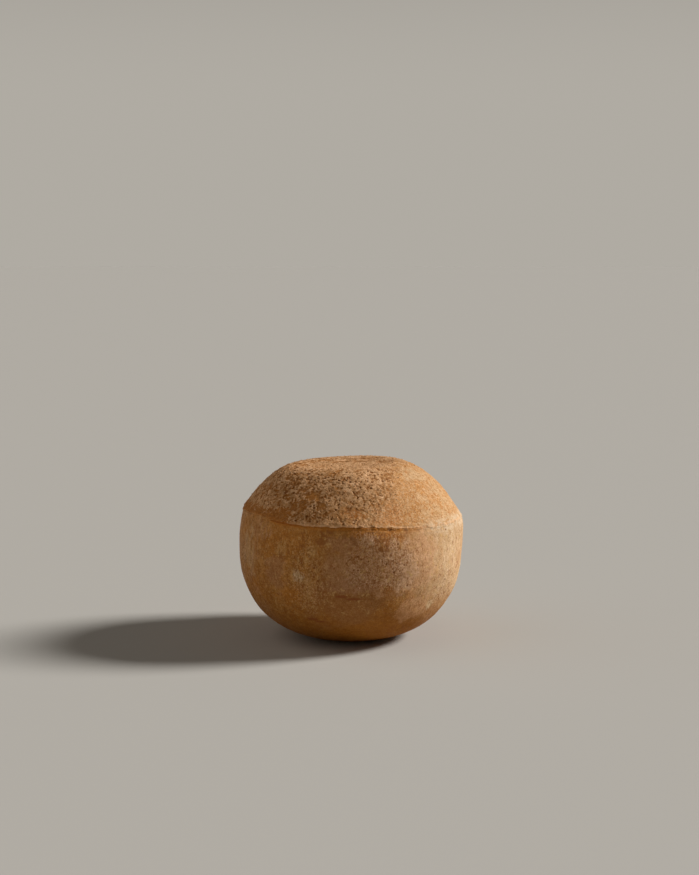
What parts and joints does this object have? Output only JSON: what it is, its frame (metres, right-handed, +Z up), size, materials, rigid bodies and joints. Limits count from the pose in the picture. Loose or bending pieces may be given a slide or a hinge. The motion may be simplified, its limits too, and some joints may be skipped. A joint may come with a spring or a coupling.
{
  "type": "ball of cheese",
  "caption": "Whole ball of hard, natural-rind cheese: round bowl-shaped lower part, sloping cap with a flat crown, and a thin mould seam between them.",
  "frame": {"origin": "middle of the flat foot that the ball stands on", "axes": "+Z up through the crown; -Y is the front; the seam falls and the crown rises towards +X"},
  "size_m": [0.1904, 0.1911, 0.1495],
  "materials": {
    "rind": "dry, matt, brushed natural rind"
  },
  "bodies": {
    "root": {"cheese_ball": "rind"}
  },
  "joints": []
}
